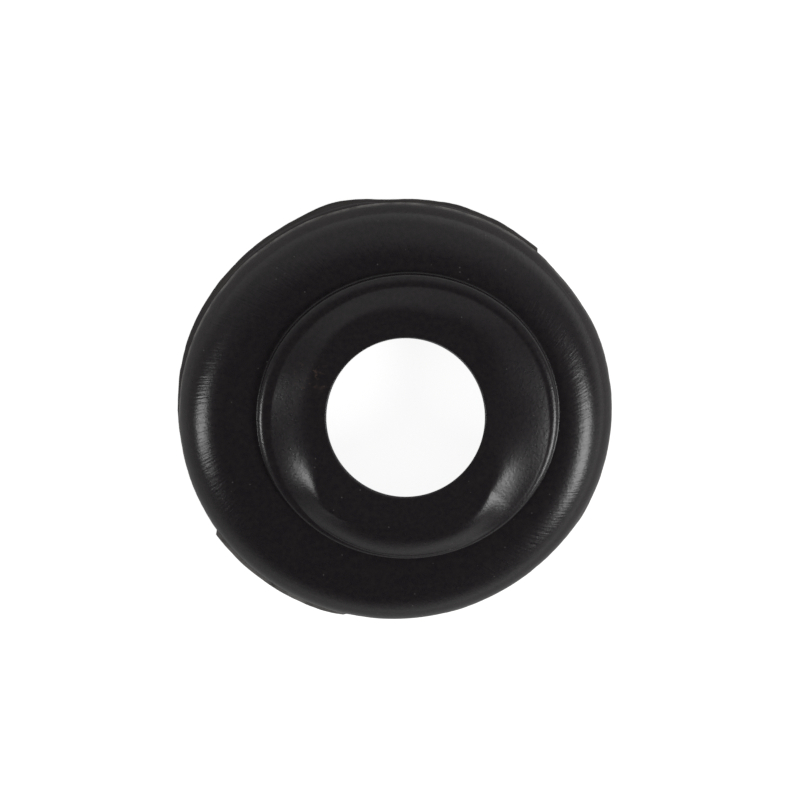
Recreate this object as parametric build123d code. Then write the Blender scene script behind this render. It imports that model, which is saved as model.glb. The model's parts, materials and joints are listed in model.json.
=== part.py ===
from build123d import *
import math
import os

# Rubber grommet, one moulding.
# +Z is the front (domed) side, the origin is the middle of the flat rear face.

# Rear flange: the plain disc that is pushed through the panel's hole, moulded a little off centre
rear_radius = 21.5
rear_thickness = 1.6
rear_edge_radius = 0.7
rear_offset_x = -0.15

# Groove and neck: the panel's edge sits here
panel_thickness = 1.2
panel_clearance = 0.2
panel_hole_radius = 15.25
neck_clearance = 0.25
root_radius = 0.4

# Front flange: flat on top, rounded down to its widest edge
front_radius = 21.65
front_lip = 0.4
round_width = 5.0
round_rise = 3.5

# Ring: the low step on the front flange, moulded off centre
ring_radius = 14.75
ring_rise = 0.9
ring_offset_x = 1.08
ring_offset_y = 0.49
ring_edge_radius = 0.35
ring_foot_radius = 0.2

# Collar: slopes from the ring up to a low, oval top that tips over a little
collar_foot_radius = 13.95
collar_top_radius_x = 10.1
collar_top_radius_y = 12.5
collar_rise = 1.15
collar_shoulder_radius = 0.3
collar_offset_x = 0.6
collar_offset_y = 0.25
collar_tip = 2.0
tip_heading = 56.0

# Bore: straight hole for the cable, leaning over, and off centre in the collar's top
bore_offset_x = 0.77
bore_offset_y = 0.95
bore_radius = 7.95
bore_lean = 16.5
lean_heading = 98.3
bore_front_edge = 0.3
bore_rear_edge = 0.4

# Heights that follow from the sizes above
groove_width = panel_thickness + panel_clearance
neck_radius = panel_hole_radius - neck_clearance
underside_z = rear_thickness + groove_width
widest_z = underside_z + front_lip
flat_z = widest_z + round_rise
ring_z = flat_z + ring_rise
collar_z = ring_z + collar_rise


# Direction that leans over by some degrees towards a heading
def leaning(degrees, towards):
    lean = math.radians(degrees)
    heading = math.radians(towards)
    return Vector(
        math.sin(lean) * math.cos(heading),
        math.sin(lean) * math.sin(heading),
        math.cos(lean),
    )


# Front flange and neck as one turned body
with BuildPart() as body:
    with BuildSketch(Plane.XZ):
        with BuildLine():
            Line((0, 0), (neck_radius, 0))
            Line((neck_radius, 0), (neck_radius, underside_z))
            Line((neck_radius, underside_z), (front_radius - front_lip, underside_z))
            RadiusArc(
                (front_radius - front_lip, underside_z),
                (front_radius, widest_z),
                -front_lip,
            )
            EllipticalCenterArc(
                (front_radius - round_width, widest_z),
                round_width,
                round_rise,
                start_angle=0,
                arc_size=90,
            )
            Line((front_radius - round_width, flat_z), (0, flat_z))
            Line((0, flat_z), (0, 0))
        make_face()
    revolve(axis=Axis.Z)

# Rear flange with its rounded edges, fused on, and rounded roots of the groove
rear_disc = Cylinder(
    rear_radius, rear_thickness, align=(Align.CENTER, Align.CENTER, Align.MIN)
)
rear_disc = fillet(rear_disc.edges().filter_by(GeomType.CIRCLE), rear_edge_radius)
grommet = body.part + Pos(rear_offset_x, 0, 0) * rear_disc
roots = grommet.edges().filter_by(GeomType.CIRCLE).filter_by(
    lambda e: abs(e.radius - neck_radius) < 1e-6
)
grommet = fillet(roots, root_radius)

# Ring, fused off centre and blended at its foot
ring_body = Pos(ring_offset_x, ring_offset_y, underside_z) * Cylinder(
    ring_radius, ring_z - underside_z, align=(Align.CENTER, Align.CENTER, Align.MIN)
)
grommet = grommet + ring_body
ring_feet = grommet.edges().filter_by(GeomType.CIRCLE).filter_by(
    lambda e: abs(e.radius - ring_radius) < 1e-6 and abs(e.center().Z - flat_z) < 1e-6
)
grommet = fillet(ring_feet, ring_foot_radius)
ring_edges = grommet.edges().filter_by(GeomType.CIRCLE).filter_by(
    lambda e: abs(e.radius - ring_radius) < 1e-6 and abs(e.center().Z - ring_z) < 1e-6
)
grommet = fillet(ring_edges, ring_edge_radius)

# Collar, lofted from the round foot to the tipped oval top
foot_plane = Plane.XY.offset(ring_z).shift_origin((ring_offset_x, ring_offset_y, ring_z))
collar_axis = leaning(collar_tip, tip_heading)
collar_centre = Vector(collar_offset_x, collar_offset_y, collar_z)
top_plane = Plane(origin=collar_centre, x_dir=(1, 0, 0), z_dir=collar_axis)
collar = loft(
    [
        foot_plane * Circle(collar_foot_radius),
        top_plane * Ellipse(collar_top_radius_x, collar_top_radius_y),
    ]
)
shoulder = collar.edges().sort_by(lambda e: e.bounding_box().center().Z)[-1]
collar = fillet(shoulder, collar_shoulder_radius)
core = Pos(ring_offset_x, ring_offset_y, underside_z) * Cylinder(
    collar_foot_radius, ring_z - underside_z, align=(Align.CENTER, Align.CENTER, Align.MIN)
)
grommet = grommet + (collar + core)

# Bore, cut straight through along its own axis
bore_axis = leaning(bore_lean, lean_heading)
bore_drop_x = (bore_offset_x - collar_offset_x) * collar_axis.X / collar_axis.Z
bore_drop_y = (bore_offset_y - collar_offset_y) * collar_axis.Y / collar_axis.Z
bore_centre = Vector(bore_offset_x, bore_offset_y, collar_z - bore_drop_x - bore_drop_y)
bore_plane = Plane(origin=bore_centre, z_dir=bore_axis)
grommet = grommet - bore_plane * Cylinder(bore_radius, 4 * collar_z)
mouth_limit = 2 * math.pi * (bore_radius + 0.5)
rear_mouth = grommet.edges().filter_by(
    lambda e: abs(e.bounding_box().max.Z) < 0.001 and e.length < mouth_limit
)
grommet = fillet(rear_mouth, bore_rear_edge)
front_mouth = grommet.edges().filter_by(
    lambda e: (e.bounding_box().center() - bore_centre).length < 0.5
    and mouth_limit * 0.9 < e.length < mouth_limit
)
grommet = fillet(front_mouth, bore_front_edge)

os.makedirs("parts", exist_ok=True)
export_step(grommet, "parts/grommet.step")
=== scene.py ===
import bpy
import json
import math
from mathutils import Matrix, Vector, noise

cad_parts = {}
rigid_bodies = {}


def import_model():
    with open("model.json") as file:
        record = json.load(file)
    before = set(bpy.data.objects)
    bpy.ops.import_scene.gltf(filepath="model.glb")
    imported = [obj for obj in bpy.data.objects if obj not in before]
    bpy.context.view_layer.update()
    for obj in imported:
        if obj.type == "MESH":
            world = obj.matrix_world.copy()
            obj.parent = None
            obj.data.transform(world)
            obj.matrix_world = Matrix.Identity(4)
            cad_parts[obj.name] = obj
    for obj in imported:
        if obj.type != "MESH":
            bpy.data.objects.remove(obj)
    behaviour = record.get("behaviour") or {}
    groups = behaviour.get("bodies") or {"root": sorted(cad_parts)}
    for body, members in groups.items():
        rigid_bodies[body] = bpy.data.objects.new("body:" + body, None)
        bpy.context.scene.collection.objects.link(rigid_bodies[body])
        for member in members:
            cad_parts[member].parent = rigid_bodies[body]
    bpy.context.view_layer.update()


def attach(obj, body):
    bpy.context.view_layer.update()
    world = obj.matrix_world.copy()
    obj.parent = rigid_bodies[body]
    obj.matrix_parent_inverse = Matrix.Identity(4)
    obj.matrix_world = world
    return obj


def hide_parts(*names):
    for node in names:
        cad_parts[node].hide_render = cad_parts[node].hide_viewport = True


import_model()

# The grommet: one moulding of black rubber, pressed in a two-part mould and trimmed by hand.
# It is drawn out here ring by ring, from the rear face round the groove and over the dome
# to the collar, then down through the leaning bore and back to the rear face.
MM = 0.001
AROUND = 360
TINY = 1e-7

# flanges, neck and dome, in mm; a guide is a narrow band that keeps a flat's shading flat
rear_radius, rear_thickness, rear_rounding = 21.5, 1.6, 0.7
rear_middle = (-0.15, 0.0)
neck_radius, underside, root = 15.0, 3.0, 0.4
front_radius, lip, dome_width, dome_rise = 21.65, 0.4, 5.0, 3.5
widest = underside + lip
dome_top = widest + dome_rise
guide, root_guide = 0.2, 0.15
rear_flat = rear_radius - rear_rounding
underside_flat = front_radius - lip
first_radius = rear_flat - guide

# parting lines of the mould: how far they stand out, and their two edges on each flange
line_out = 0.03
rear_line = (rear_rounding + 0.02, rear_rounding + 0.12)
front_line = (widest + 0.03, widest + 0.11)

# the low step: a little oval and off centre, with a narrow foot and a soft edge
ring_radius, ring_top, ring_middle = 15.0, dome_top + 0.9, (1.08, 0.55)
ring_oval, ring_edge, ring_drop, ring_foot = 0.985, 0.9, 0.45, 0.06
wall_top = ring_top - ring_drop

# collar: a tipped top, and a foot, shoulder and slope that change as they go round;
# a least-squares fit of the shading to the photo's gave the rise, the tip and the wave sizes,
# apart from the foot's waves and the shoulder's first and third, which differ from the fit's
collar_middle, collar_rise = (1.1, 0.35), 1.144
collar_tip = (-0.0239, -0.0288)
foot_waves = (14.0, 0.13, -0.2)
shoulder_waves = (
    9.45, -1.04, -0.34, -2.21, -0.65, -0.17, -0.32,
    -1.31, -0.17, 0.02, -0.03, -0.06, -0.43,
)
slope_waves = (1.33, 1.50, 0.69, -0.94, 1.93, -1.16, 0.81, 0.20, -0.35)
hollow_waves = (-0.15, -0.31, -0.15, 0.36, -0.20, 0.62, 0.22)
soft_waves = (0.22, -0.20, 0.52, 0.41, -0.10, 0.16, -0.39)
sharpest, softest, least_steep = 0.12, 0.95, 0.05
SLOPE_PARTS = 30
COLLAR_RINGS = 35

# bore: it leans, and so its mouth in the level rings is an oval
bore_radius, bore_lean, heading = 7.95, 16.5, math.radians(98.3)
bore_middle, mouth_edge, mouth_zone = (0.77, 0.95), 0.12, 0.31
mouth_oval = 1 / math.cos(math.radians(bore_lean))
rear_mouth_edge, rear_mouth_flat = 0.4, 0.6
upright_depths, past_rear_face = (4.2, 4.4), 2.8
MOUTH_RINGS = 5

# the open rim that the next ring is drawn out of
rim = {
    "radius": first_radius, "centre": Vector((*rear_middle, 0)), "lean": 0.0, "stretch": 1.0,
}


def leaning(degrees):
    """The direction that leans by so many degrees towards the heading."""
    lean = math.radians(degrees)
    return Vector((
        math.sin(lean) * math.cos(heading),
        math.sin(lean) * math.sin(heading),
        math.cos(lean),
    ))


def turn_to(degrees, pivot, back=False):
    """Leans the selected ring, or stands a leaning ring upright again."""
    to = leaning(degrees)
    about_y = math.asin(to.x)
    about_x = -math.asin(to.y / math.cos(about_y))
    turns = [("Y", about_y), ("X", about_x)]
    if back:
        turns = [("X", -about_x), ("Y", -about_y)]
    for axis, angle in turns:
        if abs(angle) > TINY:
            bpy.ops.transform.rotate(value=-angle, orient_axis=axis, center_override=pivot)


def draw_ring(radius, height, middle=(0.0, 0.0), lean=0.0, stretch=1.0):
    """Extrudes the open rim of the moulding and sets the new ring's size, place and lean."""
    bpy.ops.mesh.extrude_region_move()
    here = rim["centre"] * MM
    if rim["lean"]:
        turn_to(rim["lean"], here, back=True)
    scale = radius / rim["radius"]
    bpy.ops.transform.resize(
        value=(scale, scale * stretch / rim["stretch"], 1), center_override=here
    )
    there = Vector((*middle, height))
    bpy.ops.transform.translate(value=(there - rim["centre"]) * MM)
    if lean:
        turn_to(lean, there * MM)
    rim.update(radius=radius, centre=there, lean=lean, stretch=stretch)


def draw_arc(across, up, radius, rise, start, end, steps, middle=(0.0, 0.0), stretch=1.0):
    """Draws a rounded stretch of rings about one point of the section."""
    for step in range(1, steps + 1):
        angle = math.radians(start + (end - start) * step / steps)
        height = up + rise * math.sin(angle)
        draw_ring(across + radius * math.cos(angle), height, middle, stretch=stretch)


def between(start, end, share):
    """The value that lies this share of the way from start to end."""
    return start + (end - start) * share


def waves(sizes, angle):
    """A length that swells and sinks as it goes round."""
    total = sizes[0]
    for order in range(1, len(sizes) // 2 + 1):
        total += sizes[2 * order - 1] * math.cos(order * angle)
        total += sizes[2 * order] * math.sin(order * angle)
    return total


def fall(share, angle):
    """How far the collar has dropped after this share of its slope, in no fixed unit."""
    bias, hollow = waves(slope_waves, angle), waves(hollow_waves, angle)
    soft = min(max(waves(soft_waves, angle), sharpest), softest)
    total = 0.0
    for step in range(SLOPE_PARTS):
        at = share * (step + 0.5) / SLOPE_PARTS
        start = min(at / soft, 1)
        bend = 4 * (at - 0.5) ** 2 - 0.333
        steep = max(1 + bias * (at - 0.5) + hollow * bend, least_steep)
        total += start * start * (3 - 2 * start) * steep * share / SLOPE_PARTS
    return total


def collar_height(x, y):
    """Height of the collar above the step: a tipped top and a slope of uneven width."""
    x, y = x - collar_middle[0], y - collar_middle[1]
    radius, angle = math.hypot(x, y), math.atan2(y, x)
    shoulder = waves(shoulder_waves, angle)
    share = (radius - shoulder) / (waves(foot_waves, angle) - shoulder)
    if share >= 1:
        return 0.0
    if share <= 0:
        return collar_rise + collar_tip[0] * x + collar_tip[1] * y
    edge_x, edge_y = shoulder * math.cos(angle), shoulder * math.sin(angle)
    top = collar_rise + collar_tip[0] * edge_x + collar_tip[1] * edge_y
    return top * (1 - fall(share, angle) / fall(1, angle))


bpy.ops.object.select_all(action="DESELECT")
bpy.ops.mesh.primitive_circle_add(
    vertices=AROUND, radius=first_radius * MM, fill_type="NOTHING",
    location=(rear_middle[0] * MM, rear_middle[1] * MM, 0),
)
moulding = bpy.context.object
moulding.name = "grommet_moulding"
bpy.ops.object.transform_apply(location=True)
bpy.ops.object.mode_set(mode="EDIT")
bpy.ops.mesh.select_all(action="SELECT")

# rear flange, with the parting line of the mould round its widest edge
draw_ring(rear_flat, 0, rear_middle)
draw_arc(
    rear_flat, rear_rounding, rear_rounding, rear_rounding, -90, 0, steps=6, middle=rear_middle
)
for height in rear_line:
    draw_ring(rear_radius + line_out, height, rear_middle)
draw_arc(
    rear_flat, rear_thickness - rear_rounding,
    rear_rounding, rear_rounding, 0, 90, steps=6, middle=rear_middle,
)
draw_ring(rear_flat - guide, rear_thickness, rear_middle)

# groove: in along the rear flange, up the neck and out along the underside
draw_ring(neck_radius + root + root_guide, rear_thickness)
draw_ring(neck_radius + root, rear_thickness)
draw_arc(neck_radius + root, rear_thickness + root, root, root, 270, 180, steps=5)
draw_arc(neck_radius + root, underside - root, root, root, 180, 90, steps=5)
draw_ring(neck_radius + root + root_guide, underside)
draw_ring(underside_flat - guide, underside)
draw_ring(underside_flat, underside)
draw_arc(underside_flat, widest, lip, lip, -90, 0, steps=5)

# parting line of the front flange, then the dome up to its flat top
for height in front_line:
    draw_ring(front_radius + line_out, height)
draw_arc(front_radius - dome_width, widest, dome_width, dome_rise, 3, 90, steps=34)

# the low step, off centre on the flat
draw_ring(ring_radius + guide, dome_top, ring_middle, stretch=ring_oval)
draw_ring(ring_radius + ring_foot, dome_top, ring_middle, stretch=ring_oval)
draw_ring(ring_radius, dome_top + ring_foot, ring_middle, stretch=ring_oval)
draw_ring(ring_radius, wall_top, ring_middle, stretch=ring_oval)
draw_arc(
    ring_radius - ring_edge, wall_top,
    ring_edge, ring_drop, 0, 90, steps=14, middle=ring_middle, stretch=ring_oval,
)

# collar: rings in to the bore's mouth, all on the step's level until they are lifted below
for step in range(1, COLLAR_RINGS + 1):
    share = step / COLLAR_RINGS
    draw_ring(
        between(ring_radius - ring_edge, bore_radius + mouth_edge, share), ring_top,
        [between(outer, inner, share) for outer, inner in zip(ring_middle, bore_middle)],
        stretch=between(ring_oval, mouth_oval, share),
    )

# bore: rounded mouth, then straight down along its own leaning axis and past the rear face
for step in range(1, MOUTH_RINGS + 1):
    angle = math.radians(90 * step / MOUTH_RINGS)
    draw_ring(
        bore_radius + mouth_edge - mouth_edge * math.sin(angle),
        ring_top - mouth_edge + mouth_edge * math.cos(angle),
        bore_middle,
        stretch=mouth_oval,
    )
bore_axis = leaning(bore_lean)
head = Vector((*bore_middle, ring_top + collar_height(*bore_middle)))
for depth in (*upright_depths, head.z / bore_axis.z + past_rear_face):
    place = head - bore_axis * depth
    draw_ring(bore_radius, place.z, place.xy, bore_lean)
bpy.ops.mesh.select_more()
bpy.ops.mesh.bisect(
    plane_co=(0, 0, rear_mouth_edge * MM), plane_no=(0, 0, 1), clear_inner=True
)

# rounded rear mouth of the bore
mouth = head - bore_axis * ((head.z - rear_mouth_edge) / bore_axis.z)
rim.update(radius=bore_radius, centre=mouth.copy(), lean=0.0, stretch=1.0)
for step in range(1, MOUTH_RINGS + 1):
    angle = math.radians(90 * step / MOUTH_RINGS)
    drop = rear_mouth_edge * math.sin(angle)
    draw_ring(
        bore_radius + rear_mouth_edge - rear_mouth_edge * math.cos(angle),
        rear_mouth_edge - drop,
        (mouth.x - bore_axis.x * drop, mouth.y - bore_axis.y * drop),
    )
draw_ring(bore_radius + rear_mouth_flat, 0, mouth.xy)
bpy.ops.object.mode_set(mode="OBJECT")


def on_first_ring(point):
    """Whether a point is on the ring that the moulding was drawn out of."""
    reach = (point.xy - Vector(rear_middle) * MM).length
    return abs(reach - first_radius * MM) < TINY and abs(point.z) < TINY


# the flat rear face closes the moulding between its last ring and its first
for edge in moulding.data.edges:
    if all(on_first_ring(moulding.data.vertices[index].co) for index in edge.vertices):
        edge.select = True
bpy.ops.object.mode_set(mode="EDIT")
bpy.ops.mesh.select_mode(type="EDGE")
bpy.ops.mesh.bridge_edge_loops()
bpy.ops.mesh.select_all(action="SELECT")
bpy.ops.mesh.remove_doubles(threshold=TINY)
bpy.ops.mesh.normals_make_consistent(inside=False)
bpy.ops.object.mode_set(mode="OBJECT")
bpy.ops.object.shade_smooth()

# lift the collar; its mouth is lifted along the bore, so that the bore stays straight
lift_from = wall_top + 0.01
middle_height = collar_height(*bore_middle)
for vertex in moulding.data.vertices:
    x, y, z = vertex.co / MM
    if z > lift_from:
        lift = collar_height(x, y)
        vertex.co.z += lift * MM
        from_bore = math.hypot(x - bore_middle[0], (y - bore_middle[1]) / mouth_oval)
        if from_bore < bore_radius + mouth_zone:
            vertex.co.xy += bore_axis.xy / bore_axis.z * (lift - middle_height) * MM

# uneven edges: the rear flange was trimmed by hand, and thin flash was left along the front one;
# a swell is its size in mm, its place round the edge and its width, both in degrees
mid_groove, dome_part, edge_inner = 2, 5, 20.3
coarse, fine, ripple_size = 9.0, 31.0, 0.05
rear_stand, front_stand = 0.05, -0.02
rear_swells = ((-0.33, 90.5, 7), (-0.12, 80, 5), (0.24, 107, 7), (0.12, 158, 13))
front_swells = ((-0.16, 38, 9), (0.10, 285, 14), (0.11, 330, 14))
cut_depth, cut_start, cut_run, cut_end = 0.34, 15, 20, 48
flash_start, flash_end, flash_stand, flash_ripple = 215, 257, 0.32, 0.04
flash_swell = (-0.25, 259, 5)


def swell(angle, size, middle, width):
    """A soft bulge, or a hollow, at one place of the edge."""
    off = (angle - middle + 180) % 360 - 180
    return size * math.exp(-((off / width) ** 2))


for vertex in moulding.data.vertices:
    high = vertex.co.z / MM
    on_rear = high < mid_groove
    radius = rear_radius if on_rear else front_radius
    middle = Vector(rear_middle) * MM if on_rear else Vector((0, 0))
    arm = vertex.co.xy - middle
    reach = arm.length / MM
    if reach < edge_inner or high > dome_part:
        continue
    angle = math.degrees(math.atan2(arm.y, arm.x)) % 360
    around = Vector((*arm.normalized(), high // mid_groove))
    ripple = noise.noise(around * coarse) + 0.5 * noise.noise(around * fine)
    if on_rear:
        grow = rear_stand + ripple_size * ripple + sum(swell(angle, *row) for row in rear_swells)
        if angle < cut_end:
            grow = -cut_depth * min(max((angle - cut_start) / cut_run, 0), 1)
    elif flash_start < angle < flash_end:
        grow = flash_stand + flash_ripple * ripple + swell(angle, *flash_swell)
    else:
        grow = front_stand + ripple_size * ripple + sum(swell(angle, *row) for row in front_swells)
    if reach > radius + line_out / 2 or grow < 0:
        depth = min((reach - edge_inner) / (radius - edge_inner), 1)
        vertex.co.xy = middle + arm * (reach + grow * depth) / reach


def add_node(tree, kind, inputs=None, **settings):
    """Adds a shader node; each input is a value, or the output that feeds it."""
    node = tree.nodes.new("ShaderNode" + kind)
    for name, value in settings.items():
        setattr(node, name, value)
    for name, value in (inputs or {}).items():
        if isinstance(value, bpy.types.NodeSocket):
            tree.links.new(value, node.inputs[name])
        else:
            node.inputs[name].default_value = value
    return node


# the rubber: semi-matt black, fine drawn lines across the dome, grey bloom and specks of dust
black, paler_black = (0.0142, 0.0118, 0.0142, 1), (0.0235, 0.0190, 0.0212, 1)
bloom_grey = (0.046, 0.036, 0.033, 1)
dust_grey = (0.10, 0.094, 0.09, 1)
# pale grey of the painted highlight along the widest edge
rim_highlight_grey = (0.26, 0.245, 0.235, 1)
smudge_brown = (0.075, 0.052, 0.044, 1)
rubber = bpy.data.materials.new("black_rubber_moulded")
rubber.use_nodes = True
compound = rubber.node_tree


def ramp(value, start, end):
    """Rises from 0 to 1 while the value goes from start to end."""
    inputs = {"Value": value, "From Min": start, "From Max": end}
    return add_node(compound, "MapRange", inputs).outputs[0]


def times(first, second):
    """The product of two values."""
    return add_node(compound, "Math", {0: first, 1: second}, operation="MULTIPLY").outputs[0]


def spots(scale, detail, at):
    """Soft random spots, from 0 to 1."""
    inputs = {"Scale": scale, "Detail": detail, "Vector": at}
    return add_node(compound, "TexNoise", inputs).outputs["Fac"]


def blend(share, under, over):
    """Lays one colour over another by a share."""
    inputs = {"Factor": share, "A": under, "B": over}
    return add_node(compound, "Mix", inputs, data_type="RGBA").outputs["Result"]


def vector(operation, *inputs):
    """Adds a node that works on vectors."""
    return add_node(compound, "VectorMath", dict(enumerate(inputs)), operation=operation)


where = add_node(compound, "TexCoord").outputs["Object"]
above_rear = add_node(compound, "SeparateXYZ", {0: where}).outputs["Z"]
level = vector("MULTIPLY", where, (1, 1, 0)).outputs[0]
from_axis = vector("LENGTH", level).outputs["Value"]
outside = ramp(from_axis, 0.0185, 0.0195)

# a fine mottle in the black
mottle = ramp(spots(2400.0, 4.0, where), 0.35, 0.70)
colour = blend(mottle, black, paler_black)

# bloom low on the outside, gone 6 mm up
low_down = times(ramp(above_rear, 0.0060, 0.0032), outside)
colour = blend(times(spots(260.0, 5.0, where), low_down), colour, bloom_grey)

# a speck of dust in about a quarter of the cells
cells = add_node(compound, "TexVoronoi", {"Scale": 1100.0, "Vector": where})
lot = add_node(compound, "SeparateXYZ", {0: cells.outputs["Color"]}).outputs["X"]
drawn = add_node(compound, "Math", {0: lot, 1: 0.72}, operation="GREATER_THAN").outputs[0]
speck = times(drawn, ramp(cells.outputs["Distance"], 0.10, 0.04))
colour = blend(speck, colour, dust_grey)

# painted highlight: a pale line painted along the widest edge, broken by spots
rim_highlight_band = times(ramp(above_rear, 0.0041, 0.0036), ramp(above_rear, 0.0032, 0.0034))
painted_rim_highlight = times(times(rim_highlight_band, outside), ramp(spots(700.0, 3.0, where), 0.3, 0.7))
colour = blend(painted_rim_highlight, colour, rim_highlight_grey)

# brown smudge on the collar
from_smudge = vector("DISTANCE", where, (-0.0087, 0.0053, 0.0088)).outputs["Value"]
smudge = times(ramp(from_smudge, 0.0022, 0.0004), ramp(spots(1800.0, 3.0, where), 0.55, 0.68))
colour = blend(smudge, colour, smudge_brown)

# drawn lines: spots pulled out along the radius, which turn a little as they run outwards
outwards = vector("NORMALIZE", level).outputs[0]
turned = add_node(
    compound, "VectorRotate",
    {"Vector": outwards, "Angle": times(from_axis, -22.0)}, rotation_type="Z_AXIS",
).outputs[0]
along = add_node(compound, "CombineXYZ", {"Z": times(from_axis, 5.0)}).outputs[0]
streaks = spots(90.0, 2.0, vector("ADD", turned, along).outputs[0])
line_bump = add_node(compound, "Bump", {
    "Strength": 0.36, "Distance": 0.00006,
    "Height": times(streaks, ramp(from_axis, 0.0150, 0.0172)),
})

# a fine grain all over
grain_bump = add_node(compound, "Bump", {
    "Strength": 0.55, "Distance": 0.00002,
    "Height": spots(3600.0, 2.0, where), "Normal": line_bump.outputs[0],
})
surface = compound.nodes["Principled BSDF"]
surface.inputs["Roughness"].default_value = 0.25
compound.links.new(colour, surface.inputs["Base Color"])
compound.links.new(grain_bump.outputs[0], surface.inputs["Normal"])
moulding.data.materials.append(rubber)
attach(moulding, "root")
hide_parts("grommet")

# The camera looks down on the domed side from a little beyond it, through a long lens.
# Its aim puts the grommet where it stands in the photo's frame.
camera_distance = 1.0
aim_right, aim_up = 0.44 * MM, 1.14 * MM
to_camera = Vector((-0.041, 0.281, 0.9588)).normalized()
picture_right = Vector((0, 1, 0)).cross(to_camera).normalized()
picture_up = to_camera.cross(picture_right)
aim = Vector((0, 0, widest * MM)) + picture_right * aim_right + picture_up * aim_up
lens = bpy.data.cameras.new("camera")
lens.sensor_width = 36
lens.lens = 450
camera = bpy.data.objects.new("camera", lens)
bpy.context.scene.collection.objects.link(camera)
stance = Matrix((picture_right, picture_up, to_camera)).transposed().to_4x4()
stance.translation = aim + to_camera * camera_distance
camera.matrix_world = stance
bpy.context.scene.camera = camera

# The floor is a wide sheet of white paper, which keeps the grommet's soft shadow.
# It glows for the camera, and faintly in reflections, so that it looks white.
sheet_width, sheet_gap = 4, 0.05 * MM
bpy.ops.object.select_all(action="DESELECT")
bpy.ops.mesh.primitive_plane_add(size=sheet_width, location=(0, 0, -sheet_gap))
floor = bpy.context.object
floor.name = "floor"
paper = bpy.data.materials.new("white_paper")
paper.use_nodes = True
pulp = paper.node_tree
ray = add_node(pulp, "LightPath").outputs
mirrored = add_node(pulp, "Math", {0: ray["Is Glossy Ray"], 1: 0.1}, operation="MULTIPLY")
glow = add_node(
    pulp, "Math", {0: ray["Is Camera Ray"], 1: 0.9, 2: mirrored.outputs[0]},
    operation="MULTIPLY_ADD",
)
sheet = pulp.nodes["Principled BSDF"]
sheet.inputs["Base Color"].default_value = (0.5, 0.5, 0.5, 1)
sheet.inputs["Roughness"].default_value = 0.9
sheet.inputs["Emission Color"].default_value = (1, 1, 1, 1)
pulp.links.new(glow.outputs[0], sheet.inputs["Emission Strength"])
floor.data.materials.append(paper)

# The lamps are two long soft boxes, one low on each side of the picture.
# The right one is larger and stands aslant.
lamp_distance = 0.8


def soft_box(name, across, up, out, turn, long, wide, power):
    """A rectangular lamp, facing the grommet from a direction given in the picture's axes."""
    box = bpy.data.lights.new(name, "AREA")
    box.shape = "RECTANGLE"
    box.size, box.size_y, box.energy = long, wide, power
    stand = bpy.data.objects.new(name, box)
    bpy.context.scene.collection.objects.link(stand)
    place = picture_right * across + picture_up * up + to_camera * out
    place = place.normalized() * lamp_distance
    stand.location = place
    stand.rotation_euler = place.to_track_quat("Z", "Y").to_euler()
    stand.rotation_euler.rotate_axis("Z", math.radians(turn))


soft_box("soft_box_right", 0.695, -0.54, 0.475, turn=45, long=0.34, wide=0.21, power=2.05)
soft_box("soft_box_left", -0.715, -0.45, 0.505, turn=0, long=0.14, wide=0.27, power=1.2)

# The room round the lamps is dim overhead and paler beyond the far side of the grommet.
# It is also paler along the horizon, most of all on the right. The camera sees it white.
world = bpy.data.worlds.new("studio")
bpy.context.scene.world = world
world.use_nodes = True
air = world.node_tree
sight = add_node(air, "TexCoord").outputs["Generated"]
facing = add_node(air, "SeparateXYZ", {0: sight}).outputs
far_side = add_node(air, "MapRange", {
    "Value": facing["Y"], "From Min": -0.2, "From Max": 0.6, "To Min": 0.04, "To Max": 0.43,
}, interpolation_type="SMOOTHSTEP")
horizon = add_node(air, "MapRange", {
    "Value": facing["Z"], "From Min": 0.5, "From Max": 0.0, "To Min": 0.0, "To Max": 0.7,
})
right_side = add_node(air, "Math", {0: facing["X"], 1: 0.6, 2: 1.0}, operation="MULTIPLY_ADD")
pale_band = add_node(
    air, "Math", {0: horizon.outputs[0], 1: right_side.outputs[0]}, operation="MULTIPLY"
)
both = add_node(air, "Math", {0: far_side.outputs[0], 1: pale_band.outputs[0]}, operation="ADD")
seen = add_node(air, "LightPath").outputs["Is Camera Ray"]
white = add_node(air, "Mix", {"Factor": seen, "A": both.outputs[0], "B": 1.0})
room = air.nodes["Background"]
room.inputs["Color"].default_value = (1, 1, 1, 1)
air.links.new(white.outputs[0], room.inputs["Strength"])

bpy.context.scene.view_settings.view_transform = "Standard"
